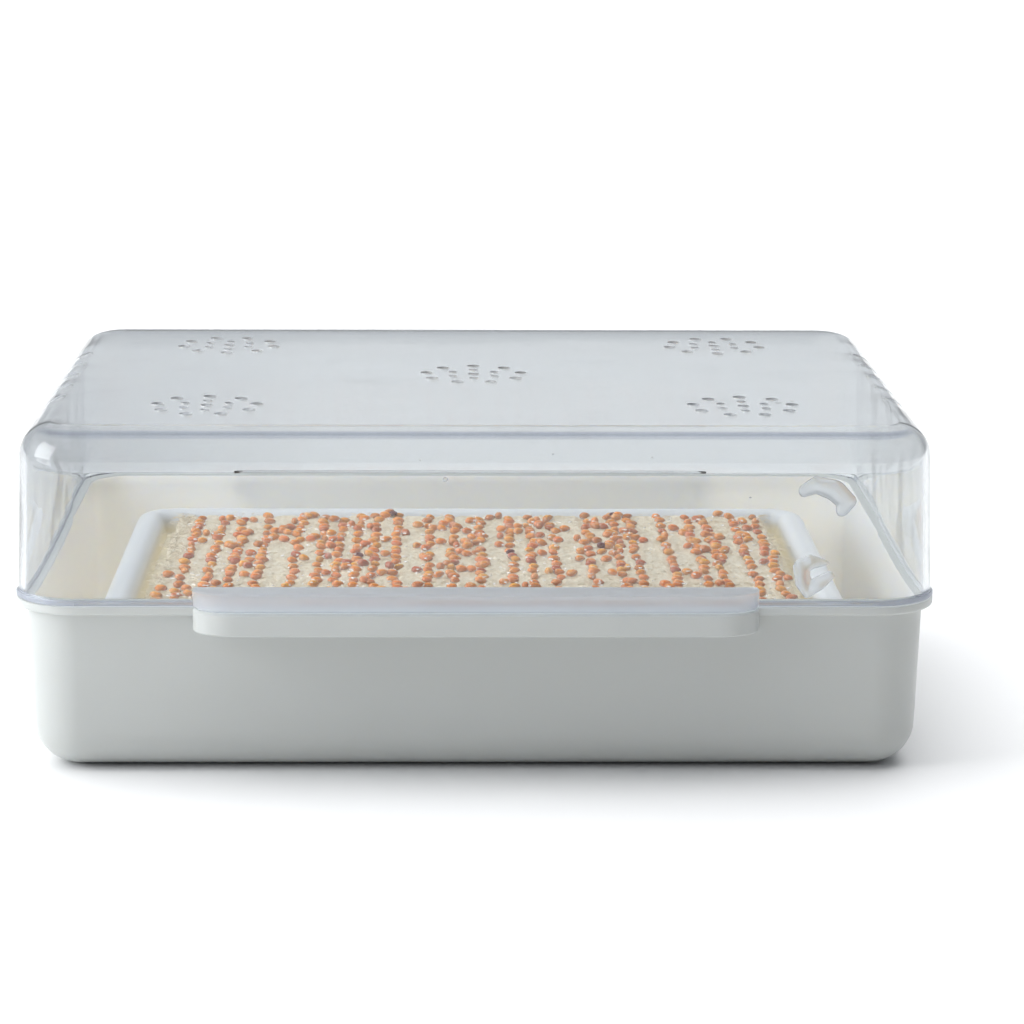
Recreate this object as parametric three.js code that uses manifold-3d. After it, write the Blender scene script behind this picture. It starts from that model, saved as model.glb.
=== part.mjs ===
// Microgreens tray: a white tray under a clear vented lid, with a white inner tray that
// holds a furrowed mat and rows of swollen cress seeds.
// Millimetres, +Z up. The origin is the middle of the tray's underside; the long side lies along X.
import * as THREE from "three";
import { mergeVertices } from "three/addons/utils/BufferGeometryUtils.js";
import Module from "manifold-3d";

const wasm = await Module();
wasm.setup();

// Driving dimensions
const RIM_LENGTH = 215;       // over the tray's rim, along X
const RIM_DEPTH = 160;        // over the tray's rim, along Y, without the grip tabs
const RIM_HEIGHT = 40.5;      // top of the tray's rim
const TOTAL_HEIGHT = 81.5;    // top of the lid
const RIM_CORNER = 15;        // plan radius of the rim's corners
const REST_GAP = 0.3;         // clearance between pieces that rest on each other

const TRAY_WALL = 1.8;
const TRAY_FLOOR = 2.2;
const LIP_OVERHANG = 2.5;     // how far the rim's lip stands out from the wall
const LIP_DEPTH = 2;
const LIP_EASE = 0.4;         // the small bevels of the lip's edges
const TRAY_DRAFT = 1;         // how much the wall leans in from the lip to the bottom
const BOTTOM_ROUND = 10;

const LID_WALL = 1.5;
const LID_TOP = 1.6;
const FLANGE_THICKNESS = 1.2;
const FLANGE_OVERHANG = 0.6;
const FLANGE_EASE = 0.2;
const LID_DRAFT = 0.9;
const SHOULDER_ROUND = 8;

const TAB_HALF_LENGTH = 65.3;
const TAB_REACH = 7;          // how far the grip tabs stand out past the rim
const TAB_END = 10;           // its ends are quarter ovals, this long and as deep as the reach
const TAB_WALL = 1.5;
const TAB_ROOT = 1;           // how far a tab's solid runs back into the wall
const TAB_WEB = 0.3;          // what its hollow leaves standing on the wall's outer face
const TRAY_TAB_DROP = 5.4;    // height of the tray's tab, down from the rim
const LID_TAB_RISE = 4.4;     // height of the lid's tab, up from its flange's underside

const CLUSTER_RADIUS = 12;    // vent clusters on the lid's top: an outer ring round an inner ring
const CLUSTER_X = 64;
const CLUSTER_Y = 44.5;
const OUTER_HOLE = 1.55;
const INNER_HOLE = 1.1;
const CENTRE_HOLE = 1.4;
const HOLE_SIDES = 6;
const OUTER_COUNT = 9;
const INNER_COUNT = 6;
const SLOT_COUNT = 5;         // vent slots over each short side's shoulder
const SLOT_PITCH = 16;
const SLOT_WIDTH = 2;
const SLOT_LENGTH = 9;
const SLOT_DEPTH = 5;         // of the cutter, more than the lid is thick

const INSERT_LENGTH = 180;
const INSERT_DEPTH = 124;
const INSERT_CORNER = 10;
const INSERT_TOP = 34.7;
const INSERT_FLOOR = 29;      // upper face of the slotted floor
const INSERT_SHEET = 1.5;
const BEAD_WIDTH = 7.3;
const BEAD_LIP = 3.8;         // how far the bead's outer edge hangs below its top
// The bead's rounded edges: [how far in from its side, how far down from its top]
const BEAD_ROUND = [[0, 2], [0.5, 0.8], [1.9, 0]];
const BEAD_SAG = 0.5;         // the underside of the bead falls outwards by this
const INSERT_DRAFT = 0.8;
const FOOT_RADIUS = 4.5;
const FOOT_TAPER = 1;
const FOOT_BITE = 0.5;        // how far a foot runs up into the floor
const FOOT_SIDES = 10;
const FOOT_X = 66;
const FOOT_Y = 40;
const DRAIN_LENGTH = 22;
const DRAIN_WIDTH = 3;
const DRAIN_X = [-56, -28, 0, 28, 56];
const DRAIN_Y = [-26, -13, 0, 13, 26];

const MAT_LENGTH = 158;
const MAT_DEPTH = 106;
const MAT_TOP = 34.8;
const MAT_UNDERCUT = 0.6;     // the cut edges lean in by this at the bottom
const MAT_EDGE = [1, 1.2];    // width and height of the bevel along the cut edges
const FURROW_DEPTH = 0.8;
const FURROW_TOP_HALF = 2.05;
const FURROW_FLOOR_HALF = 1.7;

const SEED_LENGTH = 2.8;
const SEED_WIDTH = 1.8;
const SEED_THICKNESS = 1.6;
const SEED_PITCH = 8.2;       // along a row
const FILM_HALF_WIDTH = 1.35; // the seeds' jelly film that joins a row
const FILM_THICKNESS = 0.5;
const ROW_END = 2.5;          // from the mat's edge to the end of a row
const SEED_LIFT = 0.55;       // from the film's middle up to a seed's middle
const SEED_STRAY = 1.6;       // how far a seed may lie from its place along the row
const SEED_DRIFT = 0.35;      // and across it
const SEED_TURN = 0.6;        // how far a seed may turn, in radians
const ENDWAYS_SHARE = 0.2;    // this share of the seeds lies along the row
const SEED_SIZES = [0.88, 1.04];
// Where the rows were sown, from left to right
const ROW_X = [
  -72.3, -66.1, -60.6, -53.7, -45.2, -38.9, -34.2, -29.6, -25.1, -19.3, -11.2, -5.3,
  1.9, 9.9, 15.2, 21, 29.8, 37.3, 41.9, 50.3, 57.8, 62.4, 69.8, 75.6,
];

// Colours and finishes
const whitePlastic = () => new THREE.MeshStandardMaterial({ color: 0xeef1f0, roughness: 0.38 });
const insertPlastic = () => new THREE.MeshStandardMaterial({ color: 0xf2f4f5, roughness: 0.32 });
const clearPlastic = () => new THREE.MeshStandardMaterial({
  color: 0xe4ecee, roughness: 0.06, transparent: true, opacity: 0.25,
});
const wetFibre = () => new THREE.MeshStandardMaterial({ color: 0xe6dcc2, roughness: 0.8 });
const wetSeed = () => new THREE.MeshStandardMaterial({ color: 0xc9713d, roughness: 0.3 });

// Plan of a rounded rectangle, counter-clockwise, at one height
function roundedRing(halfX, halfY, radius, z, steps) {
  const corners = [[1, 1], [-1, 1], [-1, -1], [1, -1]];
  return corners.flatMap(([sideX, sideY], quarter) =>
    Array.from({ length: steps + 1 }, (_, i) => {
      const angle = (quarter + i / steps) * Math.PI / 2;
      return [
        sideX * (halfX - radius) + radius * Math.cos(angle),
        sideY * (halfY - radius) + radius * Math.sin(angle),
        z,
      ];
    }));
}

// A closed skin through rings of one size, from the ring whose cap faces down to the one facing up
function skin(rings) {
  const count = rings[0].length;
  const points = rings.flat();
  const lastRow = (rings.length - 1) * count;
  const capCentre = (ring) => points.push([0, 0, ring[0][2]]) - 1;
  const firstCentre = capCentre(rings[0]);
  const lastCentre = capCentre(rings[rings.length - 1]);
  const faces = [];
  for (let i = 0; i < count; i++) {
    const next = (i + 1) % count;
    faces.push(firstCentre, next, i, lastCentre, lastRow + i, lastRow + next);
    for (let row = 0; row < lastRow; row += count) {
      faces.push(row + i, row + next, row + count + next);
      faces.push(row + i, row + count + next, row + count + i);
    }
  }
  const geometry = new THREE.BufferGeometry();
  geometry.setAttribute("position", new THREE.Float32BufferAttribute(points.flat(), 3));
  geometry.setIndex(faces);
  return geometry;
}

// A moulded shell whose profile is a list of [inset from the outline, height]
function mouldedShell(length, depth, corner, profile, steps = 6) {
  return skin(profile.map(([inset, z]) => roundedRing(
    length / 2 - inset, depth / 2 - inset, Math.max(corner - inset, 1.5), z, steps)));
}

// Points of a quarter round in a profile, from angle `from` to `to` in degrees
function quarterRound(centreInset, centreZ, radius, from, to, steps) {
  return Array.from({ length: steps + 1 }, (_, i) => {
    const angle = THREE.MathUtils.degToRad(from + (to - from) * i / steps);
    return [centreInset - radius * Math.cos(angle), centreZ + radius * Math.sin(angle)];
  });
}

function toSolid(geometry) {
  const bare = geometry.clone();
  bare.deleteAttribute("normal");
  bare.deleteAttribute("uv");
  const merged = mergeVertices(bare, 1e-5);
  return new wasm.Manifold(new wasm.Mesh({
    numProp: 3,
    vertProperties: Float32Array.from(merged.getAttribute("position").array),
    triVerts: Uint32Array.from(merged.index.array),
  }));
}

function toGeometry(solid) {
  const mesh = solid.getMesh();
  const geometry = new THREE.BufferGeometry();
  geometry.setAttribute("position", new THREE.BufferAttribute(mesh.vertProperties, 3));
  geometry.setIndex(new THREE.BufferAttribute(mesh.triVerts, 1));
  geometry.computeVertexNormals();
  return geometry;
}

function prism(shape, bottom, top, curveSegments = 4) {
  const options = { depth: top - bottom, bevelEnabled: false, curveSegments };
  return new THREE.ExtrudeGeometry(shape, options).translate(0, 0, bottom);
}

const join = (solid, geometry) => solid.add(toSolid(geometry));
const cut = (solid, geometry) => solid.subtract(toSolid(geometry));

// Plan of a grip tab on the +Y side, from inside the wall out to its rounded ends
function tabPlan(root, margin) {
  const halfLength = TAB_HALF_LENGTH - margin;
  const ovalX = TAB_HALF_LENGTH - TAB_END;
  const ovalY = RIM_DEPTH / 2;
  const endX = TAB_END - margin;
  const endY = TAB_REACH - margin;
  const shape = new THREE.Shape();
  shape.moveTo(-halfLength, root);
  shape.lineTo(halfLength, root);
  shape.absellipse(ovalX, ovalY, endX, endY, 0, Math.PI / 2);
  shape.absellipse(-ovalX, ovalY, endX, endY, Math.PI / 2, Math.PI);
  return shape;
}

// Adds a hollow tab, open below, to both long sides of a shell
function withTabs(shell, wallFace, bottom, top) {
  let result = shell;
  for (const turn of [0, Math.PI]) {
    const outside = prism(tabPlan(wallFace - TAB_ROOT, 0), bottom, top);
    const hollow = prism(tabPlan(wallFace + TAB_WEB, TAB_WALL), bottom - 1, top - TAB_WALL);
    result = cut(join(result, outside.rotateZ(turn)), hollow.rotateZ(turn));
  }
  return result;
}

function makeTray() {
  const bottomInset = LIP_OVERHANG + TRAY_DRAFT;
  const innerRound = BOTTOM_ROUND - TRAY_WALL;
  const shell = toSolid(mouldedShell(RIM_LENGTH, RIM_DEPTH, RIM_CORNER, [
    ...quarterRound(bottomInset + BOTTOM_ROUND, BOTTOM_ROUND, BOTTOM_ROUND, -90, 0, 4),
    [LIP_OVERHANG, RIM_HEIGHT - LIP_DEPTH],
    [LIP_EASE, RIM_HEIGHT - LIP_DEPTH],
    [0, RIM_HEIGHT - LIP_DEPTH + LIP_EASE],
    [0, RIM_HEIGHT - LIP_EASE],
    [LIP_EASE, RIM_HEIGHT],
    [LIP_OVERHANG + TRAY_WALL - LIP_EASE, RIM_HEIGHT],
    [LIP_OVERHANG + TRAY_WALL, RIM_HEIGHT - LIP_EASE],
    ...quarterRound(bottomInset + BOTTOM_ROUND, TRAY_FLOOR + innerRound, innerRound, 0, -90, 3),
  ]));
  const wallFace = RIM_DEPTH / 2 - LIP_OVERHANG;
  return withTabs(shell, wallFace, RIM_HEIGHT - TRAY_TAB_DROP, RIM_HEIGHT);
}

// One cluster of vent holes, as prisms through the lid's top
function ventCluster(x, y, turn) {
  const hole = (radius, distance, angle) =>
    new THREE.CylinderGeometry(radius, radius, 3 * LID_TOP, HOLE_SIDES)
      .rotateX(Math.PI / 2)
      .translate(x + distance * Math.cos(angle), y + distance * Math.sin(angle), TOTAL_HEIGHT);
  const ring = (count, radius, distance) => Array.from({ length: count }, (_, i) =>
    hole(radius, distance, turn + Math.PI / 2 + i * 2 * Math.PI / count));
  return [
    hole(CENTRE_HOLE, 0, 0),
    ...ring(INNER_COUNT, INNER_HOLE, CLUSTER_RADIUS / 2),
    ...ring(OUTER_COUNT, OUTER_HOLE, CLUSTER_RADIUS),
  ];
}

// The slots that run over the shoulder of each short side
function shoulderSlots() {
  const shoulderX = RIM_LENGTH / 2 - FLANGE_OVERHANG - LID_DRAFT - SHOULDER_ROUND;
  const shoulderZ = TOTAL_HEIGHT - SHOULDER_ROUND;
  const slots = [];
  for (const side of [-1, 1]) {
    for (let i = 0; i < SLOT_COUNT; i++) {
      const y = (i - (SLOT_COUNT - 1) / 2) * SLOT_PITCH;
      slots.push(new THREE.BoxGeometry(SLOT_DEPTH, SLOT_WIDTH, SLOT_LENGTH)
        .translate(SHOULDER_ROUND, 0, 0)
        .rotateY(-Math.PI / 4)
        .translate(shoulderX, y, shoulderZ)
        .rotateZ(side > 0 ? 0 : Math.PI));
    }
  }
  return slots;
}

function makeLid() {
  const foot = RIM_HEIGHT + REST_GAP;
  const wallFoot = FLANGE_OVERHANG;
  const roundInset = wallFoot + LID_DRAFT + SHOULDER_ROUND;
  const roundZ = TOTAL_HEIGHT - SHOULDER_ROUND;
  const innerRound = SHOULDER_ROUND - LID_TOP;
  let lid = toSolid(mouldedShell(RIM_LENGTH, RIM_DEPTH, RIM_CORNER, [
    ...quarterRound(roundInset, roundZ, innerRound, 90, 0, 3),
    [wallFoot + LID_WALL, foot],
    [0, foot],
    [0, foot + FLANGE_THICKNESS - FLANGE_EASE],
    [FLANGE_EASE, foot + FLANGE_THICKNESS],
    [wallFoot, foot + FLANGE_THICKNESS + FLANGE_EASE],
    ...quarterRound(roundInset, roundZ, SHOULDER_ROUND, 0, 90, 4),
  ]));
  lid = withTabs(lid, RIM_DEPTH / 2 - wallFoot, foot, foot + LID_TAB_RISE);
  const holes = [
    ...ventCluster(0, 0, 0),
    ...ventCluster(-CLUSTER_X, -CLUSTER_Y, 0),
    ...ventCluster(CLUSTER_X, -CLUSTER_Y, 0),
    ...ventCluster(-CLUSTER_X, CLUSTER_Y, Math.PI),
    ...ventCluster(CLUSTER_X, CLUSTER_Y, Math.PI),
    ...shoulderSlots(),
  ];
  return holes.reduce(cut, lid);
}

function makeInsert() {
  const underside = INSERT_FLOOR - INSERT_SHEET;
  const wallOutside = BEAD_WIDTH - INSERT_SHEET;
  const outerEdge = BEAD_ROUND.map(([side, down]) => [side, INSERT_TOP - down]);
  const innerEdge = outerEdge.map(([side, z]) => [BEAD_WIDTH - side, z]).reverse();
  let insert = toSolid(mouldedShell(INSERT_LENGTH, INSERT_DEPTH, INSERT_CORNER, [
    [wallOutside + INSERT_DRAFT, underside],
    [wallOutside, INSERT_TOP - INSERT_SHEET],
    [INSERT_SHEET, INSERT_TOP - INSERT_SHEET - BEAD_SAG],
    [INSERT_SHEET, INSERT_TOP - BEAD_LIP],
    [0, INSERT_TOP - BEAD_LIP],
    ...outerEdge,
    ...innerEdge,
    [BEAD_WIDTH + INSERT_DRAFT, INSERT_FLOOR],
  ], 5));
  const footZ = TRAY_FLOOR + REST_GAP;
  const footHeight = underside + FOOT_BITE - footZ;
  for (const x of [-FOOT_X, 0, FOOT_X]) {
    for (const y of [-FOOT_Y, FOOT_Y]) {
      const foot = new THREE.CylinderGeometry(
        FOOT_RADIUS, FOOT_RADIUS - FOOT_TAPER, footHeight, FOOT_SIDES);
      insert = join(insert, foot.rotateX(Math.PI / 2).translate(x, y, footZ + footHeight / 2));
    }
  }
  for (const x of DRAIN_X) {
    for (const y of DRAIN_Y) {
      const drain = new THREE.BoxGeometry(DRAIN_LENGTH, DRAIN_WIDTH, 3 * INSERT_SHEET);
      insert = cut(insert, drain.translate(x, y, INSERT_FLOOR));
    }
  }
  return insert;
}

// The mat's cross-section, with a furrow under each row of seeds, runs from front to back
function makeMat() {
  const halfLength = MAT_LENGTH / 2;
  const bottom = INSERT_FLOOR + REST_GAP;
  const [edgeWidth, edgeHeight] = MAT_EDGE;
  const section = new THREE.Shape();
  section.moveTo(-halfLength + MAT_UNDERCUT, bottom);
  section.lineTo(halfLength - MAT_UNDERCUT, bottom);
  section.lineTo(halfLength, MAT_TOP - edgeHeight);
  section.lineTo(halfLength - edgeWidth, MAT_TOP);
  for (const x of [...ROW_X].reverse()) {
    section.lineTo(x + FURROW_TOP_HALF, MAT_TOP);
    section.lineTo(x + FURROW_FLOOR_HALF, MAT_TOP - FURROW_DEPTH);
    section.lineTo(x - FURROW_FLOOR_HALF, MAT_TOP - FURROW_DEPTH);
    section.lineTo(x - FURROW_TOP_HALF, MAT_TOP);
  }
  section.lineTo(-halfLength + edgeWidth, MAT_TOP);
  section.lineTo(-halfLength, MAT_TOP - edgeHeight);
  return prism(section, -MAT_DEPTH / 2, MAT_DEPTH / 2).rotateX(Math.PI / 2);
}

// Repeatable random numbers between 0 and 1
function seededRandom(start) {
  let state = start;
  return () => {
    state = (state * 1664525 + 1013904223) % 4294967296;
    return state / 4294967296;
  };
}

// One row: seeds lying mostly across the furrow, joined by a thin film of their own jelly
function makeSeedRow(x, row) {
  const random = seededRandom(7001 + 97 * row);
  const between = (low, high) => low + (high - low) * random();
  const rowLength = MAT_DEPTH - 2 * ROW_END;
  const filmZ = MAT_TOP - FURROW_DEPTH + REST_GAP + FILM_THICKNESS / 2;
  let seeds = toSolid(new THREE.BoxGeometry(2 * FILM_HALF_WIDTH, rowLength, FILM_THICKNESS)
    .translate(x, 0, filmZ));
  const count = Math.floor(rowLength / SEED_PITCH);
  for (let i = 0; i < count; i++) {
    const y = (i - (count - 1) / 2) * SEED_PITCH + between(-SEED_STRAY, SEED_STRAY);
    const size = between(...SEED_SIZES);
    seeds = join(seeds, new THREE.SphereGeometry(1, 6, 2)
      .rotateX(Math.PI / 2)
      .scale(size * SEED_LENGTH / 2, size * SEED_WIDTH / 2, size * SEED_THICKNESS / 2)
      .rotateZ(between(-SEED_TURN, SEED_TURN) + (random() < ENDWAYS_SHARE ? Math.PI / 2 : 0))
      .translate(x + between(-SEED_DRIFT, SEED_DRIFT), y, filmZ + SEED_LIFT));
  }
  return seeds;
}

const tray = new THREE.Group();

function addPiece(name, geometry, material) {
  const piece = new THREE.Mesh(geometry, material);
  piece.name = name;
  tray.add(piece);
}

addPiece("tray", toGeometry(makeTray()), whitePlastic());
addPiece("lid", toGeometry(makeLid()), clearPlastic());
addPiece("insert", toGeometry(makeInsert()), insertPlastic());
addPiece("mat", makeMat(), wetFibre());
ROW_X.forEach((x, row) => {
  const name = `seed_row_${String(row + 1).padStart(2, "0")}`;
  addPiece(name, toGeometry(makeSeedRow(x, row)), wetSeed());
});

export default tray;
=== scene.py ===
"""Microgreens tray: clear vented lid, white outer and inner tray, fibre mat and rows of seeds."""
import math
import random

import bpy
from mathutils import Matrix, Vector, noise


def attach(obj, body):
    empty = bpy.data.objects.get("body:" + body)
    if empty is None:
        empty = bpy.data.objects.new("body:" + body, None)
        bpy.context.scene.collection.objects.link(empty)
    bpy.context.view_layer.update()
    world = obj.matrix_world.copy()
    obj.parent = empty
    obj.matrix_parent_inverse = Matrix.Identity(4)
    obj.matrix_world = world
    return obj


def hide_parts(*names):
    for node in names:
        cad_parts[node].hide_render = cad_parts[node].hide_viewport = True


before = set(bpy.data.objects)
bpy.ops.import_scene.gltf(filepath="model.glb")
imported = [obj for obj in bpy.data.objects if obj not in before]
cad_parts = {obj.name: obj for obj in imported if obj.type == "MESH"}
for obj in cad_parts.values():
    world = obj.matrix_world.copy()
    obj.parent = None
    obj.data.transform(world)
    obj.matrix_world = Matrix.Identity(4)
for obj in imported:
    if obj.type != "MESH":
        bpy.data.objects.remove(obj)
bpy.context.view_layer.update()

# Sizes are in millimetres, as in the solids, and become metres when a mesh is made
MM = 0.001
RIM_LENGTH, RIM_DEPTH, RIM_HEIGHT = 215, 160, 40.5
TOTAL_HEIGHT = 81.5
RIM_CORNER = 15
REST_GAP = 0.3

TRAY_WALL, TRAY_FLOOR = 1.8, 2.2
LIP_OVERHANG, LIP_DEPTH = 2.5, 2
TRAY_DRAFT = 1
BOTTOM_ROUND = 10

LID_WALL, LID_TOP = 1.5, 1.6
FLANGE_THICKNESS, FLANGE_OVERHANG = 1.2, 0.6
LID_DRAFT = 0.9
SHOULDER_ROUND = 8

TAB_HALF_LENGTH, TAB_REACH, TAB_END, TAB_WALL = 65.3, 7, 10, 1.5
TRAY_TAB_DROP, LID_TAB_RISE = 5.4, 4.4

CLUSTER_RADIUS, CLUSTER_X, CLUSTER_Y = 12, 64, 44.5
OUTER_HOLE, INNER_HOLE, CENTRE_HOLE = 1.55, 1.1, 1.4
OUTER_COUNT, INNER_COUNT = 9, 6
SLOT_COUNT, SLOT_PITCH, SLOT_WIDTH, SLOT_LENGTH = 5, 16, 2, 9

INSERT_LENGTH, INSERT_DEPTH, INSERT_CORNER = 180, 124, 10
INSERT_TOP, INSERT_FLOOR, INSERT_SHEET = 34.7, 29, 1.5
BEAD_WIDTH, BEAD_LIP = 7.3, 3.8
FOOT_RADIUS, FOOT_X, FOOT_Y = 4.5, 66, 40

MAT_LENGTH, MAT_DEPTH, MAT_TOP = 158, 106, 34.8
FURROW_DEPTH, FURROW_HALF = 0.8, 2.05
ROW_X = [
    -72.3, -66.1, -60.6, -53.7, -45.2, -38.9, -34.2, -29.6, -25.1, -19.3, -11.2, -5.3,
    1.9, 9.9, 15.2, 21, 29.8, 37.3, 41.9, 50.3, 57.8, 62.4, 69.8, 75.6,
]
SEED_LENGTH, SEED_WIDTH, SEED_THICKNESS = 2.8, 1.9, 1.75
SEED_STAND = 0.45 * SEED_THICKNESS
SEED_STEP, STRAY_CHANCE, STRAY_AWAY = (3.3, 7.6), 0.28, (2.2, 3.1)
# Where the drill spilled: (x, y, seeds)
CLUMPS = [(-61, 18, 14), (-44, 30, 5), (-2, 14, 20), (33, 16, 14), (59, 18, 18), (-76, -40, 9)]
CLUMP_SPREAD_X, CLUMP_SPREAD_Y = 3.6, 15
SOWN_LEFT, SOWN_RIGHT, SOWN_FRONT, SOWN_BACK = -76.8, 76.4, -50, 51
ODD_SEEDS = [(33.3, 11), (9.6, 5), (-21, 50), (38, 50), (-29, 2)]
SEED_GROWTH, JELLY_GROWTH, JELLY_GRAIN = 0.94, 1.2, 0.24
SPECK_COUNT, SPECK_SPREAD, SPECK_LIMIT_X, SPECK_LIMIT_Y = 900, 1.9, 76.5, 50
FIBRE_COUNT, FIBRE_JOINTS = 2600, 6

# Water on the lid: runs and drops on the front wall as (x, z, radius), and drops hanging from the
# top as (x, y, radius)
WATER_Y = -RIM_DEPTH / 2 + FLANGE_OVERHANG + LID_WALL + 0.9
UPPER_RUN = [
    (75.6, 67.6, 1.6), (78.6, 69, 2.2), (82.6, 67.8, 2.6), (85.2, 65.2, 2.4), (84.2, 62.6, 1.5),
]
LOWER_RUN = [
    (80.6, 50.6, 0.9), (77.4, 50.8, 1.9), (75.2, 49.4, 2.1), (75.6, 46, 1.9), (76.8, 43.5, 1.4),
    (79.2, 45.6, 1.9), (82.2, 47.8, 1.2),
]
WALL_DROPS = [
    (-7.2, 70.2, 0.7), (17.5, 76, 0.4), (40.2, 75.2, 0.35), (-13, 74.6, 0.35), (63, 66, 0.4),
]
HANGING_DROPS = [
    (73, -38, 0.9), (76.5, -36, 0.5), (70, -33, 0.4), (15, 47, 0.5), (8, 52, 0.4), (22, 43, 0.35),
]
WATER_GRAIN = 0.2

# The photograph's camera
IMAGE_WIDTH, FOCAL_PIXELS, FILM_WIDTH = 1024, 3351.2, 36
CAMERA_PLACE, CAMERA_PITCH, CAMERA_YAW, CAMERA_ROLL = (-8.2, -830.9, 223.8), 12.078, 1.2435, 0.313


# Materials


class Signal:
    """An output socket, on which Python's operators add Math nodes."""

    def __init__(self, look, socket):
        self.look = look
        self.socket = socket

    def _maths(self, operation, other):
        return self.look.node("ShaderNodeMath", {"operation": operation}, {0: self, 1: other})

    def __add__(self, other):
        return self._maths("ADD", other)

    def __sub__(self, other):
        return self._maths("SUBTRACT", other)

    def __mul__(self, other):
        return self._maths("MULTIPLY", other)


class Look:
    """A new material or world, with an empty tree and the means to fill it."""

    def __init__(self, name, kind="materials"):
        self.owner = getattr(bpy.data, kind).new(name)
        self.owner.use_nodes = True
        self.tree = self.owner.node_tree
        self.tree.nodes.clear()

    def node(self, kind, settings=None, inputs=None, output=0):
        """Adds a node: its settings first, then the values or links of its sockets."""
        made = self.tree.nodes.new(kind)
        for key, value in (settings or {}).items():
            if key == "stops":
                self._fill_ramp(made.color_ramp, value)
            else:
                setattr(made, key, value)
        for key, value in (inputs or {}).items():
            if isinstance(value, Signal):
                self.tree.links.new(value.socket, made.inputs[key])
            else:
                made.inputs[key].default_value = value
        return Signal(self, made.outputs[output]) if made.outputs else None

    @staticmethod
    def _fill_ramp(ramp, stops):
        while len(ramp.elements) < len(stops):
            ramp.elements.new(1)
        for element, (position, colour) in zip(ramp.elements, stops):
            element.position = position
            element.color = (*colour, 1)

    def place(self):
        """Where the point is on the object, in metres."""
        return self.node("ShaderNodeTexCoord", output="Object")

    def axis(self, name):
        """One coordinate of the point, in metres."""
        return self.node("ShaderNodeSeparateXYZ", None, {0: self.place()}, output=name)

    def upwards(self):
        """How far the surface faces up, from -1 to 1."""
        normal = self.node("ShaderNodeNewGeometry", output="Normal")
        return self.node("ShaderNodeSeparateXYZ", None, {0: normal}, output="Z")

    def noise(self, scale, detail, stretch=(1, 1, 1), roughness=0.5):
        """Noise between 0 and 1, with about `scale` features to the metre."""
        stretched = self.node(
            "ShaderNodeVectorMath", {"operation": "MULTIPLY"}, {0: self.place(), 1: stretch}
        )
        sockets = {"Vector": stretched, "Scale": scale, "Detail": detail, "Roughness": roughness}
        return self.node("ShaderNodeTexNoise", None, sockets)

    def ramp(self, value, *stops):
        """Colours along a value, given as (position, colour)."""
        return self.node("ShaderNodeValToRGB", {"stops": stops}, {"Fac": value})

    def band(self, value, low, high, start=0, end=1):
        """Maps low..high smoothly to start..end, held at both ends."""
        sockets = {
            "Value": value, "From Min": low, "From Max": high, "To Min": start, "To Max": end,
        }
        return self.node("ShaderNodeMapRange", {"interpolation_type": "SMOOTHSTEP"}, sockets)

    def mix(self, factor, first, second):
        """Mixes two colours."""
        settings = {"data_type": "RGBA"}
        colours = [c if isinstance(c, Signal) else (*c, 1) for c in (first, second)]
        return self.node(
            "ShaderNodeMix", settings, {0: factor, 6: colours[0], 7: colours[1]}, output=2
        )

    def bump(self, height, depth, strength):
        """A normal from a height between 0 and 1 that stands for `depth` metres."""
        sockets = {"Height": height, "Distance": depth, "Strength": strength}
        return self.node("ShaderNodeBump", None, sockets)

    def surface(self, lets_light_in=None, **sockets):
        """Finishes the material with a Principled surface; underscores stand for spaces.

        A clear one may give the tint in which lamps light what lies behind it.
        """
        named = {key.replace("_", " "): value for key, value in sockets.items()}
        shader = self.node("ShaderNodeBsdfPrincipled", None, named)
        if lets_light_in:
            shadow = self.node("ShaderNodeLightPath", output="Is Shadow Ray")
            open_way = self.node("ShaderNodeBsdfTransparent", None, {0: (*lets_light_in, 1)})
            shader = self.node("ShaderNodeMixShader", None, {0: shadow, 1: shader, 2: open_way})
        self.node("ShaderNodeOutputMaterial", None, {"Surface": shader})
        return self.owner


def white_plastic(name, shade, light, see_through, depth):
    """Moulded white plastic between two near colours, which light enters to a depth in metres."""
    look = Look(name)
    return look.surface(
        Base_Color=look.mix(look.noise(28, 2), shade, light),
        Subsurface_Weight=see_through,
        Subsurface_Radius=(1.0, 0.82, 0.56),
        Subsurface_Scale=depth,
        Roughness=look.band(look.noise(160, 4), 0.3, 0.7, 0.28, 0.38),
        IOR=1.49,
        Normal=look.bump(look.noise(2600, 2), 0.00002, 0.5),
    )


def insert_plastic():
    """The inner tray's plastic, tinted cream by the wet fibre near its floor."""
    look = Look("insert_plastic")
    cloud = look.noise(40, 2)
    dry = look.mix(cloud, (0.74, 0.76, 0.78), (0.77, 0.79, 0.80))
    wet = look.mix(look.noise(90, 3), (0.86, 0.75, 0.50), (0.90, 0.82, 0.64))
    height = look.axis("Z")
    under_water = look.band(height, (INSERT_FLOOR + 0.5) * MM, (INSERT_TOP - 2) * MM, 1, 0)
    return look.surface(
        Base_Color=look.mix(under_water, dry, wet),
        Subsurface_Weight=0.4,
        Subsurface_Radius=(1.0, 0.9, 0.7),
        Subsurface_Scale=0.003,
        Roughness=look.band(look.noise(120, 3), 0.3, 0.7, 0.3, 0.42),
        IOR=1.49,
        Normal=look.bump(look.noise(2600, 2), 0.00002, 0.4),
    )


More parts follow.
